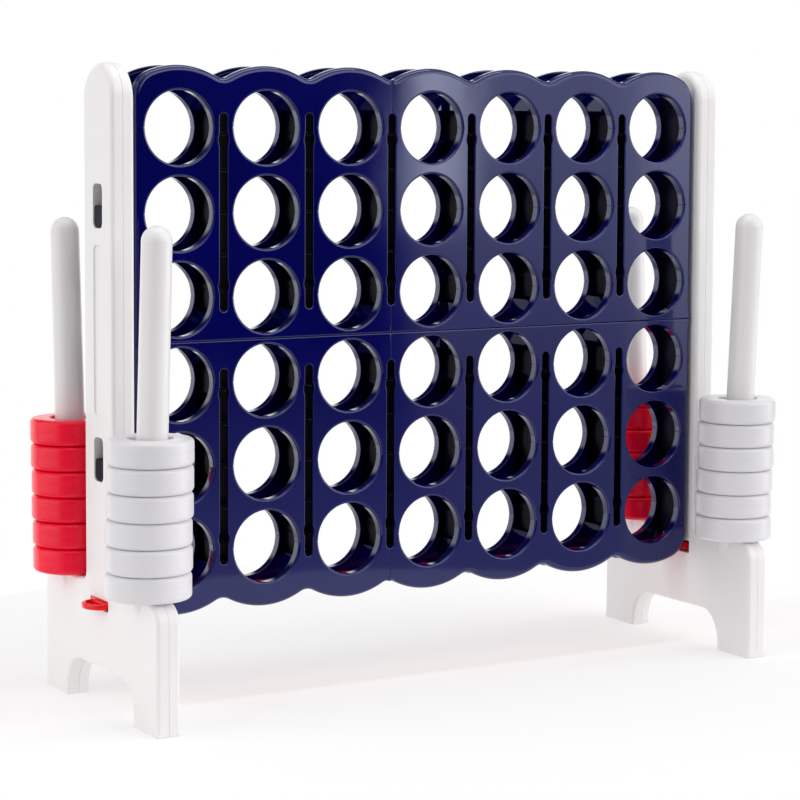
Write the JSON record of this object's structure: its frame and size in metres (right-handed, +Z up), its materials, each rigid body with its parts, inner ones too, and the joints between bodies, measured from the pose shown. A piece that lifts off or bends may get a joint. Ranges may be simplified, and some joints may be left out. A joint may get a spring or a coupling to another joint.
{
  "type": "giant four in a row game",
  "caption": "Lawn game with a drop-in board of round windows on two white uprights, leaning posts for spare rings and sliding release bars at its foot.",
  "frame": {"origin": "on the ground under the middle of the game", "axes": "+Z up, -Y the front face of the board, +X to the right of someone who looks at the front"},
  "size_m": [1.297, 0.443, 1.047],
  "materials": {
    "white_upright": "satin moulded white",
    "white_post": "satin moulded white",
    "white_ring": "satin moulded white",
    "red_ring": "satin moulded red",
    "red_bar": "gloss moulded red",
    "navy_panel": "gloss moulded navy blue",
    "navy_inside": "satin moulded navy blue"
  },
  "bodies": {
    "frame": {"left_upright_outer_shell": "white_upright", "left_upright_inner_shell": "white_upright", "right_upright_outer_shell": "white_upright", "right_upright_inner_shell": "white_upright", "front_left_post": "white_post", "front_right_post": "white_post", "rear_left_post": "white_post", "rear_right_post": "white_post", "front_upper_left_panel": "navy_panel", "front_upper_right_panel": "navy_panel", "front_lower_left_panel": "navy_panel", "front_lower_right_panel": "navy_panel", "rear_upper_left_panel": "navy_panel", "rear_upper_right_panel": "navy_panel", "rear_lower_left_panel": "navy_panel", "rear_lower_right_panel": "navy_panel", "upper_divider_1": "navy_inside", "upper_divider_2": "navy_inside", "upper_divider_3": "navy_inside", "upper_divider_4": "navy_inside", "upper_divider_5": "navy_inside", "upper_divider_6": "navy_inside", "lower_divider_1": "navy_inside", "lower_divider_2": "navy_inside", "lower_divider_3": "navy_inside", "lower_divider_4": "navy_inside", "lower_divider_5": "navy_inside", "lower_divider_6": "navy_inside", "left_upper_end_wall": "navy_inside", "left_lower_end_wall": "navy_inside", "right_upper_end_wall": "navy_inside", "right_lower_end_wall": "navy_inside"},
    "left_release_bar": {"left_release_bar": "red_bar"},
    "right_release_bar": {"right_release_bar": "red_bar"},
    "front_left_ring_1": {"front_left_ring_1": "white_ring"},
    "front_left_ring_2": {"front_left_ring_2": "white_ring"},
    "front_left_ring_3": {"front_left_ring_3": "white_ring"},
    "front_left_ring_4": {"front_left_ring_4": "white_ring"},
    "front_left_ring_5": {"front_left_ring_5": "white_ring"},
    "front_left_ring_6": {"front_left_ring_6": "white_ring"},
    "front_right_ring_1": {"front_right_ring_1": "white_ring"},
    "front_right_ring_2": {"front_right_ring_2": "white_ring"},
    "front_right_ring_3": {"front_right_ring_3": "white_ring"},
    "front_right_ring_4": {"front_right_ring_4": "white_ring"},
    "front_right_ring_5": {"front_right_ring_5": "white_ring"},
    "front_right_ring_6": {"front_right_ring_6": "white_ring"},
    "rear_left_ring_1": {"rear_left_ring_1": "red_ring"},
    "rear_left_ring_2": {"rear_left_ring_2": "red_ring"},
    "rear_left_ring_3": {"rear_left_ring_3": "red_ring"},
    "rear_left_ring_4": {"rear_left_ring_4": "red_ring"},
    "rear_left_ring_5": {"rear_left_ring_5": "red_ring"},
    "rear_left_ring_6": {"rear_left_ring_6": "red_ring"},
    "rear_right_ring_1": {"rear_right_ring_1": "red_ring"},
    "rear_right_ring_2": {"rear_right_ring_2": "red_ring"},
    "rear_right_ring_3": {"rear_right_ring_3": "red_ring"},
    "rear_right_ring_4": {"rear_right_ring_4": "red_ring"},
    "rear_right_ring_5": {"rear_right_ring_5": "red_ring"},
    "rear_right_ring_6": {"rear_right_ring_6": "red_ring"}
  },
  "joints": [
    {"name": "left_release_bar_slide", "type": "slide", "parent": "frame", "child": "left_release_bar", "axis": [-1, 0, 0], "range_m": [0, 0.54]},
    {"name": "right_release_bar_slide", "type": "slide", "parent": "frame", "child": "right_release_bar", "axis": [1, 0, 0], "range_m": [0, 0.54]},
    {"name": "front_left_ring_1_lift", "type": "slide", "parent": "frame", "child": "front_left_ring_1", "axis": [0, -0.0565, 0.9984], "range_m": [0, 0.588]},
    {"name": "front_left_ring_2_lift", "type": "slide", "parent": "front_left_ring_1", "child": "front_left_ring_2", "axis": [0, -0.0565, 0.9984], "range_m": [0, 0.544]},
    {"name": "front_left_ring_3_lift", "type": "slide", "parent": "front_left_ring_2", "child": "front_left_ring_3", "axis": [0, -0.0565, 0.9984], "range_m": [0, 0.5]},
    {"name": "front_left_ring_4_lift", "type": "slide", "parent": "front_left_ring_3", "child": "front_left_ring_4", "axis": [0, -0.0565, 0.9984], "range_m": [0, 0.457]},
    {"name": "front_left_ring_5_lift", "type": "slide", "parent": "front_left_ring_4", "child": "front_left_ring_5", "axis": [0, -0.0565, 0.9984], "range_m": [0, 0.413]},
    {"name": "front_left_ring_6_lift", "type": "slide", "parent": "front_left_ring_5", "child": "front_left_ring_6", "axis": [0, -0.0565, 0.9984], "range_m": [0, 0.369]},
    {"name": "front_right_ring_1_lift", "type": "slide", "parent": "frame", "child": "front_right_ring_1", "axis": [0, -0.0565, 0.9984], "range_m": [0, 0.588]},
    {"name": "front_right_ring_2_lift", "type": "slide", "parent": "front_right_ring_1", "child": "front_right_ring_2", "axis": [0, -0.0565, 0.9984], "range_m": [0, 0.544]},
    {"name": "front_right_ring_3_lift", "type": "slide", "parent": "front_right_ring_2", "child": "front_right_ring_3", "axis": [0, -0.0565, 0.9984], "range_m": [0, 0.5]},
    {"name": "front_right_ring_4_lift", "type": "slide", "parent": "front_right_ring_3", "child": "front_right_ring_4", "axis": [0, -0.0565, 0.9984], "range_m": [0, 0.457]},
    {"name": "front_right_ring_5_lift", "type": "slide", "parent": "front_right_ring_4", "child": "front_right_ring_5", "axis": [0, -0.0565, 0.9984], "range_m": [0, 0.413]},
    {"name": "front_right_ring_6_lift", "type": "slide", "parent": "front_right_ring_5", "child": "front_right_ring_6", "axis": [0, -0.0565, 0.9984], "range_m": [0, 0.369]},
    {"name": "rear_left_ring_1_lift", "type": "slide", "parent": "frame", "child": "rear_left_ring_1", "axis": [0, 0.0565, 0.9984], "range_m": [0, 0.588]},
    {"name": "rear_left_ring_2_lift", "type": "slide", "parent": "rear_left_ring_1", "child": "rear_left_ring_2", "axis": [0, 0.0565, 0.9984], "range_m": [0, 0.544]},
    {"name": "rear_left_ring_3_lift", "type": "slide", "parent": "rear_left_ring_2", "child": "rear_left_ring_3", "axis": [0, 0.0565, 0.9984], "range_m": [0, 0.5]},
    {"name": "rear_left_ring_4_lift", "type": "slide", "parent": "rear_left_ring_3", "child": "rear_left_ring_4", "axis": [0, 0.0565, 0.9984], "range_m": [0, 0.457]},
    {"name": "rear_left_ring_5_lift", "type": "slide", "parent": "rear_left_ring_4", "child": "rear_left_ring_5", "axis": [0, 0.0565, 0.9984], "range_m": [0, 0.413]},
    {"name": "rear_left_ring_6_lift", "type": "slide", "parent": "rear_left_ring_5", "child": "rear_left_ring_6", "axis": [0, 0.0565, 0.9984], "range_m": [0, 0.369]},
    {"name": "rear_right_ring_1_lift", "type": "slide", "parent": "frame", "child": "rear_right_ring_1", "axis": [0, 0.0565, 0.9984], "range_m": [0, 0.588]},
    {"name": "rear_right_ring_2_lift", "type": "slide", "parent": "rear_right_ring_1", "child": "rear_right_ring_2", "axis": [0, 0.0565, 0.9984], "range_m": [0, 0.544]},
    {"name": "rear_right_ring_3_lift", "type": "slide", "parent": "rear_right_ring_2", "child": "rear_right_ring_3", "axis": [0, 0.0565, 0.9984], "range_m": [0, 0.5]},
    {"name": "rear_right_ring_4_lift", "type": "slide", "parent": "rear_right_ring_3", "child": "rear_right_ring_4", "axis": [0, 0.0565, 0.9984], "range_m": [0, 0.457]},
    {"name": "rear_right_ring_5_lift", "type": "slide", "parent": "rear_right_ring_4", "child": "rear_right_ring_5", "axis": [0, 0.0565, 0.9984], "range_m": [0, 0.413]},
    {"name": "rear_right_ring_6_lift", "type": "slide", "parent": "rear_right_ring_5", "child": "rear_right_ring_6", "axis": [0, 0.0565, 0.9984], "range_m": [0, 0.369]}
  ]
}
